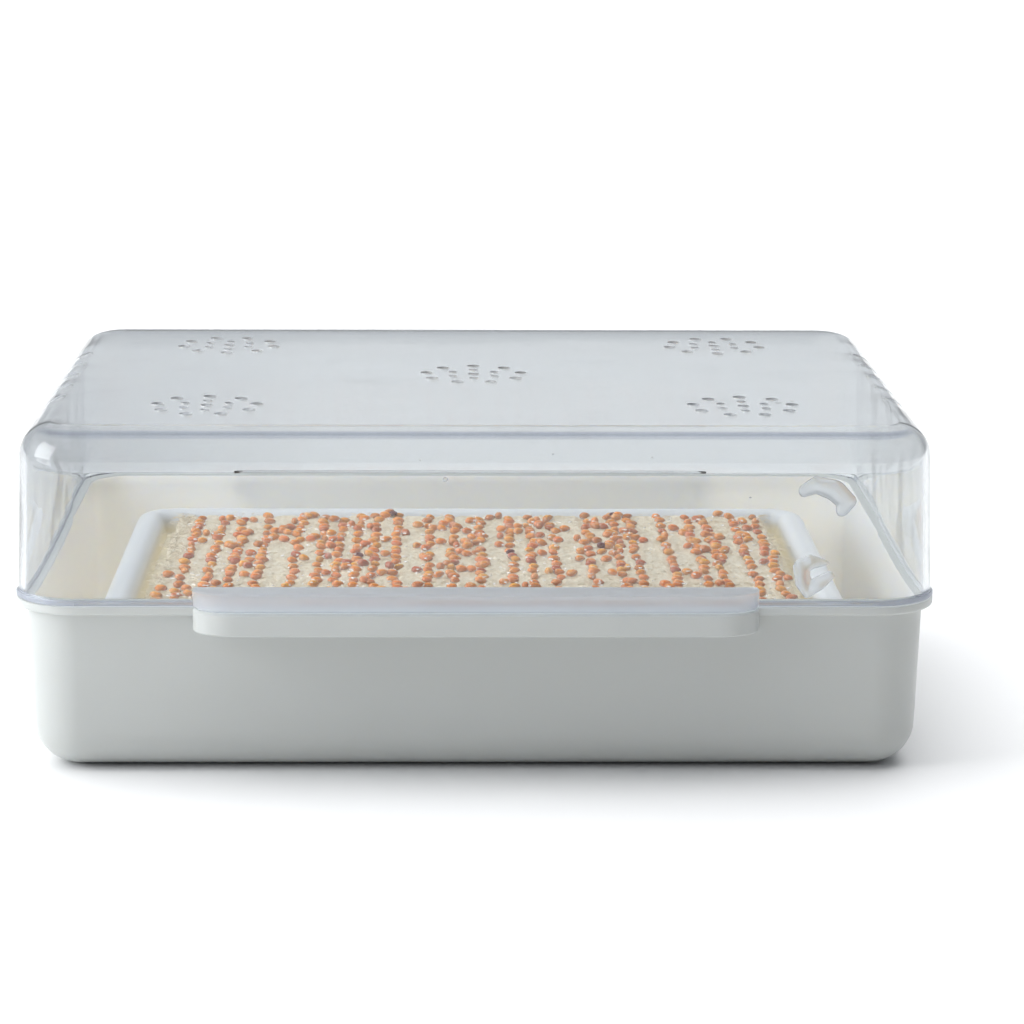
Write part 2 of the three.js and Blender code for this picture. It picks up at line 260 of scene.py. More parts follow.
def clear_plastic():
    """The lid: clear and wavy on the short sides, with painted shade in bands to the left and a
    painted dark grey-blue band on the shoulders of the long sides.
    """
    look = Look("clear_plastic")
    along, across = look.axis("X"), look.axis("Y")
    rise = look.upwards()
    steepness = rise * rise
    short_side = look.band(along * along, 0.0085, 0.0108, 0.12, 1)
    long_side = look.band(across * across, 0.0046, 0.0052)
    shoulder = look.band(steepness, 0.60, 0.68) * look.band(steepness, 0.78, 0.86, 1, 0)
    rounded = look.band(steepness, 0.01, 0.08) * look.band(steepness, 0.93, 0.995, 1, 0)
    even = look.mix(look.noise(12, 1), (0.77, 0.79, 0.80), (0.80, 0.82, 0.83))
    # Painted shade: a darker grey in bands over the left part of the lid.
    painted_streaks = look.band(look.noise(9, 1, stretch=(1, -0.7, 0)), 0.4, 0.6, 0.6, 1)
    left_painted_shade = look.band(along, -0.1, -0.03, 1, 0)
    clear = look.mix(left_painted_shade * painted_streaks, even, (0.68, 0.70, 0.715))
    polish = look.band(look.noise(70, 5, roughness=0.6), 0.45, 0.8, 0.01, 0.06)
    return look.surface(
        lets_light_in=(1.0, 1.0, 1.0),
        # Painted shade: a dark grey-blue band on the shoulders of the long sides.
        Base_Color=look.mix(shoulder * long_side * 0.95, clear, (0.44, 0.47, 0.54)),
        Roughness=polish + rounded * long_side * 0.12,
        IOR=1.5,
        Transmission_Weight=1.0,
        Normal=look.bump((look.noise(34, 1) - 0.5) * short_side, 0.0009, 0.5),
    )


def frosted_plastic(name, shade, light, clearness):
    """Frosted parts of the lid: its flange, whose grey-blue copies are partly painted shade, its
    front grip tab and the walls of its vents.
    """
    look = Look(name)
    return look.surface(
        lets_light_in=(0.85, 0.87, 0.9),
        Base_Color=look.mix(look.noise(60, 2), shade, light),
        Roughness=look.band(look.noise(60, 3), 0.3, 0.7, 0.3, 0.42),
        IOR=1.45,
        Transmission_Weight=clearness,
    )


def wet_fibre():
    """Soaked fibre with painted shade between its threads, where the felt dips, and glossier where
    water stands.
    """
    look = Look("wet_fibre")
    fibres = look.noise(900, 6, stretch=(1, 0.35, 1), roughness=0.7)
    across = look.noise(1200, 5, stretch=(0.3, 1, 1), roughness=0.7)
    felt = fibres * 0.6 + across * 0.4
    soak = look.noise(60, 3)
    pale = look.mix(soak, (0.99, 0.92, 0.77), (0.97, 0.88, 0.70))
    return look.surface(
        # The darker colour where the felt is low, between the threads, is painted shade.
        Base_Color=look.mix(look.band(felt, 0.35, 0.62), (0.78, 0.65, 0.46), pale),
        Roughness=look.band(soak, 0.35, 0.65, 0.75, 0.45),
        Coat_Weight=look.band(soak, 0.4, 0.7, 0.05, 0.35),
        Coat_Roughness=0.25,
        Normal=look.bump(felt, 0.0009, 0.9),
    )


def wet_seed():
    """Swollen seeds, each in its own orange, with whitish patches of jelly and a painted whitish
    highlight on their tops; a few are dark.
    """
    look = Look("wet_seed")
    each = look.node("ShaderNodeNewGeometry", output="Random Per Island")
    coat = look.ramp(
        each,
        (0.0, (0.80, 0.20, 0.008)),
        (0.25, (0.95, 0.35, 0.01)),
        (0.5, (0.52, 0.10, 0.01)),
        (0.75, (0.98, 0.48, 0.03)),
        (0.985, (0.78, 0.23, 0.01)),
        (0.99, (0.10, 0.03, 0.04)),
    )
    speck = look.band(look.noise(2400, 4, roughness=0.6), 0.4, 0.7)
    patches = look.band(look.noise(620, 3, roughness=0.6), 0.54, 0.66)
    bare = look.mix(speck * 0.35, coat, (0.44, 0.11, 0.04))
    painted_streaks = look.band(look.noise(1500, 2), 0.4, 0.6, 0.3, 1)
    # Where a seed faces up it is lightened as a painted highlight; the patches are the jelly's own
    # whitish colour.
    film_and_painted_highlight = look.band(look.upwards(), 0.72, 0.97) * painted_streaks * 0.36 + patches * 0.16
    return look.surface(
        Base_Color=look.mix(film_and_painted_highlight, bare, (0.97, 0.86, 0.72)),
        Subsurface_Weight=0.3,
        Subsurface_Radius=(1.0, 0.35, 0.15),
        Subsurface_Scale=0.0006,
        Roughness=look.band(speck, 0, 1, 0.28, 0.45),
        Coat_Weight=0.7,
        Coat_Roughness=0.08,
        Sheen_Weight=0.2,
        Sheen_Tint=(1.0, 0.86, 0.8, 1),
        Sheen_Roughness=0.4,
        Normal=look.bump(look.noise(3200, 3), 0.00006, 0.6),
    )


def odd_seed():
    look = Look("odd_seed")
    patch = look.noise(900, 3)
    return look.surface(
        Base_Color=look.mix(patch, (0.12, 0.035, 0.03), (0.22, 0.10, 0.10)),
        Roughness=look.band(patch, 0.3, 0.7, 0.2, 0.4),
        Coat_Weight=0.7,
        Coat_Roughness=0.08,
        Normal=look.bump(look.noise(3200, 3), 0.00006, 0.6),
    )


def seed_jelly(name, clearness):
    """The seeds' jelly, clear or milky."""
    look = Look(name)
    milky = look.noise(700, 3)
    return look.surface(
        lets_light_in=(0.96, 0.93, 0.9),
        Base_Color=look.mix(milky, (0.98, 0.94, 0.90), (0.99, 0.975, 0.96)),
        Roughness=look.band(milky, 0.3, 0.7, 0.05, 0.18),
        IOR=1.34,
        Transmission_Weight=clearness,
        Sheen_Weight=0.5,
        Sheen_Roughness=0.3,
        Sheen_Tint=(1.0, 0.96, 0.92, 1),
        Normal=look.bump(look.noise(1500, 2), 0.00012, 0.8),
    )


def clear_water():
    look = Look("clear_water")
    return look.surface(
        lets_light_in=(0.99, 0.99, 0.99),
        Base_Color=look.mix(look.noise(200, 1), (0.99, 0.995, 1.0), (0.98, 0.99, 0.995)),
        Roughness=look.band(look.noise(300, 2), 0, 1, 0.06, 0.16),
        IOR=1.33,
        Transmission_Weight=0.74,
    )


def pale_floor():
    look = Look("pale_floor")
    return look.surface(
        Base_Color=look.mix(look.noise(3, 3), (0.90, 0.90, 0.90), (0.92, 0.92, 0.92)),
        Roughness=look.band(look.noise(40, 4), 0, 1, 0.5, 0.65),
    )


# Mesh building


def add_object(name, data):
    """A new object in the scene, for a mesh, a lamp or the camera."""
    made = bpy.data.objects.new(name, data)
    bpy.context.scene.collection.objects.link(made)
    return made


def mesh_object(name, points, faces, material, smooth_angle=40):
    """A piece from points in millimetres; edges sharper than the angle stay sharp."""
    mesh = bpy.data.meshes.new(name)
    mesh.from_pydata([[c * MM for c in p] for p in points], [], faces)
    mesh.validate()
    mesh.shade_smooth()
    mesh.set_sharp_from_angle(angle=math.radians(smooth_angle))
    mesh.materials.append(material)
    return add_object(name, mesh)


def settle(piece):
    """Replaces a piece's mesh by what its modifiers make of it."""
    graph = bpy.context.evaluated_depsgraph_get()
    mesh = bpy.data.meshes.new_from_object(piece.evaluated_get(graph))
    old = piece.data
    piece.modifiers.clear()
    piece.data = mesh
    mesh.name = old.name = piece.name
    bpy.data.meshes.remove(old)
    return piece


def combine(piece, other, operation):
    """Joins another closed mesh to a piece or cuts it away; the other mesh is used up."""
    step = piece.modifiers.new("combine", "BOOLEAN")
    step.solver = "MANIFOLD"
    step.operation = operation
    step.material_mode = "TRANSFER"
    step.object = other
    settle(piece)
    bpy.data.objects.remove(other)
    return piece


def finish_shell(piece):
    """Smooth shading that stays flat on flat faces."""
    smooth_angle, large_face_weight = 32, 100
    piece.data.shade_smooth()
    piece.data.set_sharp_from_angle(angle=math.radians(smooth_angle))
    step = piece.modifiers.new("normals", "WEIGHTED_NORMAL")
    step.keep_sharp = True
    step.weight = large_face_weight
    return settle(piece)


def rounded_ring(half_x, half_y, radius, z, steps):
    """Plan of a rounded rectangle, counter-clockwise, at one height."""
    ring = []
    for quarter, (side_x, side_y) in enumerate([(1, 1), (-1, 1), (-1, -1), (1, -1)]):
        for i in range(steps + 1):
            angle = (quarter + i / steps) * math.pi / 2
            ring.append((
                side_x * (half_x - radius) + radius * math.cos(angle),
                side_y * (half_y - radius) + radius * math.sin(angle),
                z,
            ))
    return ring


def skin(name, rings, material):
    """A closed skin through rings of one size, from the one whose cap faces down."""
    count = len(rings[0])
    points = [p for ring in rings for p in ring]
    faces = [tuple(range(count))[::-1], tuple(range(len(points) - count, len(points)))]
    for row in range(0, len(points) - count, count):
        for i in range(count):
            following = (i + 1) % count
            faces.append((row + i, row + following, row + count + following, row + count + i))
    return mesh_object(name, points, faces, material)


def moulded_shell(name, length, depth, corner, profile, material, steps=14):
    """A shell whose profile is a list of (inset from the outline, height).

    A third value is the inset of the short sides, where it differs.
    """
    rings = []
    for inset, z, *short_side in profile:
        half_x = length / 2 - (short_side[0] if short_side else inset)
        rings.append(rounded_ring(half_x, depth / 2 - inset, max(corner - inset, 1.5), z, steps))
    return skin(name, rings, material)


def quarter_round(centre_inset, centre_z, radius, start, end, steps):
    """Points of a round in a profile, between two angles in degrees."""
    points = []
    for i in range(steps + 1):
        angle = math.radians(start + (end - start) * i / steps)
        points.append((
            centre_inset - radius * math.cos(angle), centre_z + radius * math.sin(angle)
        ))
    return points


def prism(name, outline, bottom, top, material, edge=0.0):
    """A prism over a plan given as a function of the inset, its two ends eased by `edge`."""
    stations = [(edge, bottom), (0, bottom + edge), (0, top - edge), (edge, top)]
    if not edge:
        stations = [(0, bottom), (0, top)]
    rings = [[(x, y, z) for x, y in outline(inset)] for inset, z in stations]
    return skin(name, rings, material)


def tab_outline(root, margin, side, steps=12):
    """Plan of a grip tab on one long side, with oval ends, as a function of a further inset."""
    def outline(inset):
        half = TAB_HALF_LENGTH - margin - inset
        points = [(half, root)]
        for direction in (1, -1):
            for i in range(steps + 1):
                angle = math.radians(90 * i / steps if direction > 0 else 90 - 90 * i / steps)
                points.append((
                    direction * (half - (TAB_END - margin - inset) * (1 - math.cos(angle))),
                    RIM_DEPTH / 2 + (TAB_REACH - margin - inset) * math.sin(angle),
                ))
        points.append((-half, root))
        return [(side * x, side * y) for x, y in points]
    return outline


def add_tab(shell, side, wall_face, bottom, top, material):
    """Adds a hollow grip tab, open below, to one long side of a shell."""
    overlap, clearance, eased_edge = 1, 0.3, 0.45
    plan = tab_outline(wall_face - overlap, 0, side)
    combine(shell, prism("tab", plan, bottom, top, material, eased_edge), "UNION")
    plan = tab_outline(wall_face + clearance, TAB_WALL, side)
    hollow = prism("hollow", plan, bottom - overlap, top - TAB_WALL, material)
    combine(shell, hollow, "DIFFERENCE")


def cylinders(name, stations, material, sides=24):
    """Upright cylinders in one mesh, each given as (x, y, bottom, top, low radius, high radius)."""
    points, faces = [], []
    for x, y, bottom, top, low, high in stations:
        first = len(points)
        for z, radius in ((bottom, low), (top, high)):
            for i in range(sides):
                angle = 2 * math.pi * i / sides
                points.append((x + radius * math.cos(angle), y + radius * math.sin(angle), z))
        faces.append(tuple(range(first, first + sides))[::-1])
        faces.append(tuple(range(first + sides, first + 2 * sides)))
        for i in range(sides):
            j = (i + 1) % sides
            faces.append((first + i, first + j, first + sides + j, first + sides + i))
    return mesh_object(name, points, faces, material)


def slots(name, boxes, material):
    """Boxes in one mesh, each given as (size, matrix that places it)."""
    points, faces = [], []
    corners = [(x, y, z) for z in (-1, 1) for y in (-1, 1) for x in (-1, 1)]
    sides = [(0, 2, 3, 1), (4, 5, 7, 6), (0, 1, 5, 4), (2, 6, 7, 3), (0, 4, 6, 2), (1, 3, 7, 5)]
    for size, matrix in boxes:
        first = len(points)
        for corner in corners:
            points.append(matrix @ Vector([c * s / 2 for c, s in zip(corner, size)]))
        faces += [tuple(first + i for i in side) for side in sides]
    return mesh_object(name, points, faces, material)


def show(piece, slot, *nodes):
    """Puts a finished piece on the body, in place of its solids; its slot is not used."""
    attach(piece, "root")
    if nodes:
        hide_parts(*nodes)
    return piece


# The tray, the lid and the inner tray


def make_tray(material, lit_inside_material):
    """The outer tray with its two grip tabs. Faces turned into the tray take a brighter, warmer
    copy of its plastic, which is painted light; the rest take a darker copy, which is painted
    shade.
    """
    bottom_inset = LIP_OVERHANG + TRAY_DRAFT
    inner_round = BOTTOM_ROUND - TRAY_WALL
    lip_foot = RIM_HEIGHT - LIP_DEPTH
    wall_inside = LIP_OVERHANG + TRAY_WALL
    under_rim = (RIM_HEIGHT - 0.1) * MM
    lip_round, rim_round, mouth_round = 0.7, 0.25, 0.5
    profile = [
        *quarter_round(bottom_inset + BOTTOM_ROUND, BOTTOM_ROUND, BOTTOM_ROUND, -90, 0, 12),
        (LIP_OVERHANG, lip_foot - 0.5),
        (LIP_OVERHANG - 0.4, lip_foot),
        *quarter_round(lip_round, lip_foot + lip_round, lip_round, -90, 0, 4),
        *quarter_round(rim_round, RIM_HEIGHT - rim_round, rim_round, 0, 90, 3),
        *quarter_round(
            wall_inside - mouth_round, RIM_HEIGHT - mouth_round, mouth_round, 90, 180, 4
        ),
        *quarter_round(
            bottom_inset + BOTTOM_ROUND, TRAY_FLOOR + inner_round, inner_round, 0, -90, 10
        ),
    ]
    tray = moulded_shell("outer_tray", RIM_LENGTH, RIM_DEPTH, RIM_CORNER, profile, material)
    wall_face = RIM_DEPTH / 2 - LIP_OVERHANG
    for side in (1, -1):
        add_tab(tray, side, wall_face, RIM_HEIGHT - TRAY_TAB_DROP, RIM_HEIGHT, material)
    # Faces turned into the tray, below the rim, take the brighter, warmer copy: painted light.
    tray.data.materials.append(lit_inside_material)
    for face in tray.data.polygons:
        inwards = face.normal.xy.dot(face.center.xy) < 0 or face.normal.z > 0.5
        if inwards and abs(face.center.y) < (wall_face - 1) * MM and face.center.z < under_rim:
            face.material_index = 1
    return finish_shell(tray)


def vent_cluster(x, y, turn):
    """One cluster of round vents as cylinders through the lid's top."""
    bottom, top = TOTAL_HEIGHT - 3, TOTAL_HEIGHT + 1

    def hole(radius, distance, angle):
        centre_x = x + distance * math.cos(angle)
        centre_y = y + distance * math.sin(angle)
        return centre_x, centre_y, bottom, top, radius, radius

    holes = [hole(CENTRE_HOLE, 0, 0)]
    for count, radius, distance in (
        (INNER_COUNT, INNER_HOLE, CLUSTER_RADIUS / 2),
        (OUTER_COUNT, OUTER_HOLE, CLUSTER_RADIUS),
    ):
        holes += [
            hole(radius, distance, turn + math.pi / 2 + 2 * math.pi * i / count)
            for i in range(count)
        ]
    return holes


def shoulder_slots():
    """The slots over the shoulders of the short sides, as boxes."""
    shoulder_x = RIM_LENGTH / 2 - FLANGE_OVERHANG - LID_DRAFT - SHOULDER_ROUND
    cut_depth = 5
    boxes = []
    for side in (0, 1):
        for i in range(SLOT_COUNT):
            y = (i - (SLOT_COUNT - 1) / 2) * SLOT_PITCH
            matrix = (
                Matrix.Rotation(side * math.pi, 4, "Z")
                @ Matrix.Translation((shoulder_x, y, TOTAL_HEIGHT - SHOULDER_ROUND))
                @ Matrix.Rotation(-math.pi / 4, 4, "Y")
                @ Matrix.Translation((SHOULDER_ROUND, 0, 0))
            )
            boxes.append(((cut_depth, SLOT_WIDTH, SLOT_LENGTH), matrix))
    return boxes


def make_lid(material, flange_tint_and_shade, painted_shade_left, grip_material, vent_material):
    """The lid with its tabs and vents. Its flange and the low band at the foot of its walls are
    grey-blue in front, partly the plastic's edge tint and partly painted shade, darker on the left
    as painted shade, and in the lighter vent finish on the right.
    """
    foot = RIM_HEIGHT + REST_GAP
    wall_foot = FLANGE_OVERHANG
    round_inset = wall_foot + LID_DRAFT + SHOULDER_ROUND
    round_z = TOTAL_HEIGHT - SHOULDER_ROUND
    flange_top = foot + FLANGE_THICKNESS
    foot_band = foot + 0.6
    foot_ease, top_ease, wall_rise = 0.2, 0.3, 0.5
    inner_fill = 2
    inner_round = SHOULDER_ROUND - LID_TOP
    filled = quarter_round(
        round_inset + inner_fill, round_z - inner_fill, inner_round + inner_fill, 90, 0, 14
    )

    def even(z):
        """Inset of an inner round that keeps the wall's thickness."""
        rise = min(max(z - round_z, 0), inner_round)
        return round_inset - math.sqrt(inner_round ** 2 - rise ** 2)

    profile = [
        *((inset, z, even(z)) for inset, z in filled),
        (wall_foot + LID_WALL, foot_band),
        (wall_foot + LID_WALL, foot),
        (foot_ease, foot),
        (0, foot + foot_ease),
        (0, flange_top - top_ease),
        (top_ease / 2, flange_top),
        (wall_foot, flange_top + wall_rise),
        *quarter_round(round_inset, round_z, SHOULDER_ROUND, 0, 90, 16),
    ]
    lid = moulded_shell("clear_lid", RIM_LENGTH, RIM_DEPTH, RIM_CORNER, profile, material)
    wall_face = RIM_DEPTH / 2 - wall_foot
    add_tab(lid, 1, wall_face, foot, foot + LID_TAB_RISE, material)
    add_tab(lid, -1, wall_face, foot, foot + LID_TAB_RISE, grip_material)
    holes = vent_cluster(0, 0, 0)
    for side_x in (-1, 1):
        for side_y, turn in ((-1, 0), (1, math.pi)):
            holes += vent_cluster(side_x * CLUSTER_X, side_y * CLUSTER_Y, turn)
    combine(lid, cylinders("vents", holes, vent_material), "DIFFERENCE")
    combine(lid, slots("shoulder_vents", shoulder_slots(), vent_material), "DIFFERENCE")
    finishes = lid.data.materials
    finishes.append(flange_tint_and_shade)
    finishes.append(painted_shade_left)
    front = finishes.find(flange_tint_and_shade.name)
    left, right = finishes.find(painted_shade_left.name), finishes.find(vent_material.name)
    front_end, back_end = -RIM_DEPTH / 2 * MM, (RIM_DEPTH / 2 - 10) * MM
    corner_start = (RIM_DEPTH / 2 - RIM_CORNER) * MM
    # The front's grey-blue is partly edge tint and partly painted shade; the left side's darker
    # copy is painted shade.
    for face in lid.data.polygons:
        inwards = face.normal.xy.dot(face.center.xy) < 0 and abs(face.normal.z) < 0.5
        low = face.center.z < (foot_band if inwards else flange_top + 0.1) * MM
        if low and front_end < face.center.y < back_end:
            along_side = abs(face.center.y) < corner_start
            side = left if face.center.x < 0 else right
            face.material_index = side if along_side else front
    return finish_shell(lid)


def make_insert(material):
    """The inner tray with its round bead, its feet and the slots that let water through."""
    underside = INSERT_FLOOR - INSERT_SHEET
    wall_outside = BEAD_WIDTH - INSERT_SHEET
    bead = 3.5
    foot_taper, foot_sink = 1, 0.5
    drain_length, drain_width = 22, 3
    profile = [
        (wall_outside + 0.8, underside),
        (wall_outside, INSERT_TOP - INSERT_SHEET - 0.6),
        (wall_outside - 0.6, INSERT_TOP - INSERT_SHEET),
        (INSERT_SHEET + 0.8, INSERT_TOP - INSERT_SHEET),
        (INSERT_SHEET, INSERT_TOP - INSERT_SHEET - 0.8),
        (INSERT_SHEET, INSERT_TOP - BEAD_LIP),
        (0, INSERT_TOP - BEAD_LIP),
        *quarter_round(bead, INSERT_TOP - bead, bead, 0, 90, 12),
        *quarter_round(BEAD_WIDTH - bead, INSERT_TOP - bead, bead, 90, 180, 12),
        (BEAD_WIDTH + 0.6, INSERT_FLOOR + 0.5),
        (BEAD_WIDTH + 1.1, INSERT_FLOOR),
    ]
    insert = moulded_shell(
        "inner_tray", INSERT_LENGTH, INSERT_DEPTH, INSERT_CORNER, profile, material
    )
    foot_z = TRAY_FLOOR + REST_GAP
    feet = [
        (x, y, foot_z, underside + foot_sink, FOOT_RADIUS - foot_taper, FOOT_RADIUS)
        for x in (-FOOT_X, 0, FOOT_X)
        for y in (-FOOT_Y, FOOT_Y)
    ]
    combine(insert, cylinders("feet", feet, material), "UNION")
    drains = [
        ((drain_length, drain_width, 3 * INSERT_SHEET), Matrix.Translation((x, y, INSERT_FLOOR)))
        for x in (-56, -28, 0, 28, 56)
        for y in (-26, -13, 0, 13, 26)
    ]
    combine(insert, slots("drains", drains, material), "DIFFERENCE")
    return finish_shell(insert)


# The mat


def furrow(x):
    """How far the mat's top dips at this place across it."""
    nearest = min(abs(x - row) for row in ROW_X)
    return FURROW_DEPTH * math.exp(-((nearest / (0.62 * FURROW_HALF)) ** 2))


def lumps(x, y, size, seed=0.0):
    """Smooth repeatable unevenness between about -1 and 1, with features of that size."""
    return noise.noise(Vector((x / size, y / size, seed)))


def mat_edge(along, seed):
    """How far the cut edge is drawn in at this place along it."""
    return 0.9 + 0.8 * lumps(along, seed, 17, seed) + 0.35 * lumps(along, seed, 4, seed)


def mat_point(u, v):
    """A point of the mat's plan for u and v from -1 to 1, between its uneven edges."""
    x, y = u * MAT_LENGTH / 2, v * MAT_DEPTH / 2
    half_x = MAT_LENGTH / 2 - mat_edge(y, 3.1 if u < 0 else 7.7)
    half_y = MAT_DEPTH / 2 - mat_edge(x, 11.3 if v < 0 else 15.9)
    return u * half_x, v * half_y


def mat_surface(x, y):
    """Height of the mat's top, with its furrows, lumps and fine felt."""
    unevenness = 0.2 * lumps(x, y, 9, 1.7) + 0.16 * lumps(x, y, 2.1, 5.2)
    felt = 0.11 * lumps(x, y, 0.8, 8.4)
    return MAT_TOP - 0.4 - furrow(x) + unevenness + felt


def make_mat(material):
    """The mat: a fine grid on top, rounded off to ragged cut edges and a flat underside."""
    columns, rows = 300, 190
    edge_round, edge_drop = 1.4, 0.7
    # Share of the way down a cut edge, and how far it stands out there, far from the middle
    ragged_edge, far = ((0.25, 0.35), (0.6, 0.3), (0.9, 0.05), (1.0, -0.3)), 80
    bottom = INSERT_FLOOR + REST_GAP
    points, faces = [], []
    for j in range(rows + 1):
        for i in range(columns + 1):
            u, v = 2 * i / columns - 1, 2 * j / rows - 1
            x, y = mat_point(u, v)
            edge = min((1 - abs(u)) * MAT_LENGTH, (1 - abs(v)) * MAT_DEPTH) / 2
            drop = edge_drop * max(0.0, 1 - edge / edge_round) ** 2
            points.append((x, y, mat_surface(x, y) - drop))
    width = columns + 1
    for j in range(rows):
        for i in range(columns):
            a = j * width + i
            faces.append((a, a + 1, a + width + 1, a + width))
    border = (
        list(range(width))
        + [j * width + columns for j in range(1, rows + 1)]
        + [rows * width + i for i in range(columns - 1, -1, -1)]
        + [j * width for j in range(rows - 1, 0, -1)]
    )
    upper = border
    for share, outward in ragged_edge:
        first = len(points)
        for k in border:
            x, y, z = points[k]
            spread = 1 + outward / far * (1 + 0.8 * lumps(x, y, 3, share))
            points.append((x * spread, y * spread, z + (bottom - z) * share))
        lower = list(range(first, first + len(border)))
        for n in range(len(border)):
            m = (n + 1) % len(border)
            faces.append((upper[m], upper[n], lower[n], lower[m]))
        upper = lower
    faces.append(tuple(upper[::-1]))
    return mesh_object("fibre_mat", points, faces, material, 180)


def add_fibre(points, faces, start, heading, bend, step, girth):
    """Adds one bent three-sided thread that arches a little over the mat."""
    arch_height, sink, ridge = 0.25, 0.05, 1.6
    x, y = start
    first = len(points)
    for k in range(FIBRE_JOINTS):
        across = Vector((-math.sin(heading), math.cos(heading), 0)) * girth
        arch = arch_height * math.sin(math.pi * (k + 0.5) / FIBRE_JOINTS)
        middle = Vector((x, y, mat_surface(x, y) - sink + arch))
        points += [middle - across, middle + across, middle + Vector((0, 0, ridge * girth))]
        x, y = x + step * math.cos(heading), y + step * math.sin(heading)
        heading += bend
    last = first + 3 * (FIBRE_JOINTS - 1)
    for a in range(first, last, 3):
        for i, j in ((0, 1), (1, 2), (2, 0)):
            faces.append((a + i, a + 3 + i, a + 3 + j, a + j))
    faces += [(first, first + 1, first + 2), (last + 2, last + 1, last)]


def make_fibres(material):
    """Loose fibres on the mat: short threads, many at its cut edges, and some long fine ones."""
    edge_every, long_every, long_left_every = 4, 24, 72
    draw = random.Random(4)
    points, faces = [], []
    for n in range(FIBRE_COUNT):
        u, v = draw.uniform(-0.995, 0.995), draw.uniform(-0.99, 0.99)
        if n % edge_every == 0:
            u = draw.choice((-1, 1)) * draw.uniform(0.965, 1.004)
        start = mat_point(u, v)
        heading, bend = draw.uniform(0, math.pi), draw.gauss(0, 0.35)
        step, girth = draw.uniform(0.25, 0.6), draw.uniform(0.05, 0.10)
        if n % long_every == 0:
            side = 1 if n % long_left_every else -1
            start = mat_point(side * 0.985, v)
            outward = 0 if side > 0 else math.pi
            heading, bend = draw.gauss(0, 0.5) + outward, draw.gauss(0, 0.15)
            step, girth = draw.uniform(0.5, 1.0), draw.uniform(0.03, 0.05)
        add_fibre(points, faces, start, heading, bend, step, girth)
    return mesh_object("loose_fibres", points, faces, material, 60)


# The seeds and their jelly


def seed_shape(rings=8, sides=12):
    """A cress seed: an oval, narrower at one end, with a shallow groove along each flat side."""
    taper, groove_depth, groove_width, groove_reach = 0.16, 0.10, 0.35, 0.4
    points = [(-1.0, 0.0, 0.0)]
    for i in range(1, rings):
        along = -math.cos(math.pi * i / rings)
        girth = math.sin(math.pi * i / rings) * (1 - taper * along)
        for k in range(sides):
            angle = 2 * math.pi * k / sides
            hollow = math.exp(-((math.cos(angle) / groove_width) ** 2))
            groove = 1 - groove_depth * hollow * max(0, along + groove_reach)
            points.append((along, girth * math.cos(angle), girth * groove * math.sin(angle)))
    points.append((1.0, 0.0, 0.0))
    last = len(points) - 1
    faces = []
    for k in range(sides):
        j = (k + 1) % sides
        faces.append((0, 1 + j, 1 + k))
        faces.append((last, last - sides + k, last - sides + j))
        for i in range(rings - 2):
            a = 1 + i * sides
            faces.append((a + k, a + j, a + sides + j, a + sides + k))
    return points, faces


def scatter(template, places):
    """Copies of one shape, each at a matrix, as one list of points and one of faces."""
    base_points, base_faces = template
    points, faces = [], []
    for matrix in places:
        first = len(points)
        points += [matrix @ Vector(p) for p in base_points]
        faces += [tuple(first + i for i in face) for face in base_faces]
    return points, faces


def sow(draw, x, y):
    """One seed at a place: (x, y, lift, heading, tilt, size). Most lie across their row."""
    along_row = 0.08
    heading = draw.gauss(0, 0.3) + (math.pi / 2 if draw.random() < along_row else 0)
    lift = draw.uniform(-0.05, 0.2)
    tilt = draw.gauss(0, 0.15)
    return x, y, lift, heading, tilt, draw.uniform(0.84, 1.06)


def sow_rows():
    """The seeds of every row, with gaps, strays and the clumps where the drill spilled."""
    rows = []
    for row, row_x in enumerate(ROW_X):
        draw = random.Random(500 + row)
        seeds = []
        y = -MAT_DEPTH / 2 + draw.uniform(2, 5)
        while y < MAT_DEPTH / 2 - 2:
            x = row_x + draw.gauss(0, 0.4) + 0.7 * lumps(row_x, y, 14, 21.0)
            seeds.append(sow(draw, x, y))
            if draw.random() < STRAY_CHANCE:
                away = draw.choice((-1, 1)) * draw.uniform(*STRAY_AWAY)
                seeds.append(sow(draw, x + away, y + draw.uniform(-2, 2)))
            y += draw.uniform(*SEED_STEP)
        rows.append(seeds)
    draw = random.Random(77)
    for clump_x, clump_y, count in CLUMPS:
        for _ in range(count):
            x = max(SOWN_LEFT, min(SOWN_RIGHT, clump_x + draw.gauss(0, CLUMP_SPREAD_X)))
            y = max(SOWN_FRONT, min(SOWN_BACK, clump_y + draw.gauss(0, CLUMP_SPREAD_Y)))
            nearest = min(range(len(ROW_X)), key=lambda row: abs(ROW_X[row] - x))
            rows[nearest].append(sow(draw, x, y))
    return rows


def seed_matrix(place, grow=SEED_GROWTH):
    """Where one seed, or the jelly round it, lies on the mat."""
    x, y, lift, heading, tilt, size = place
    centre_z = mat_surface(x, y) + SEED_STAND + lift
    scale = [grow * size * s / 2 for s in (SEED_LENGTH, SEED_WIDTH, SEED_THICKNESS)]
    return (
        Matrix.Translation((x, y, centre_z))
        @ Matrix.Rotation(heading, 4, "Z")
        @ Matrix.Rotation(tilt, 4, "Y")
        @ Matrix.Diagonal((*scale, 1))
    )


def melt_together(piece, grain, softness):
    """Runs a piece's overlapping drops into one smooth skin."""
    melt = piece.modifiers.new("melt", "REMESH")
    melt.mode = "VOXEL"
    melt.voxel_size = grain * MM
    soften = piece.modifiers.new("soften", "SMOOTH")
    soften.iterations = softness
    settle(piece)
    piece.data.shade_smooth()
    return piece


def make_jelly(name, row_seeds, material):
    """The clear jelly round a row's seeds, run together where they lie close."""
    sunk = Matrix.Translation((0, 0, -0.25))
    places = [seed_matrix(place, JELLY_GROWTH) @ sunk for place in row_seeds]
    jelly = mesh_object(name, *scatter(seed_shape(6, 10), places), material, 180)
    return melt_together(jelly, JELLY_GRAIN, 4)


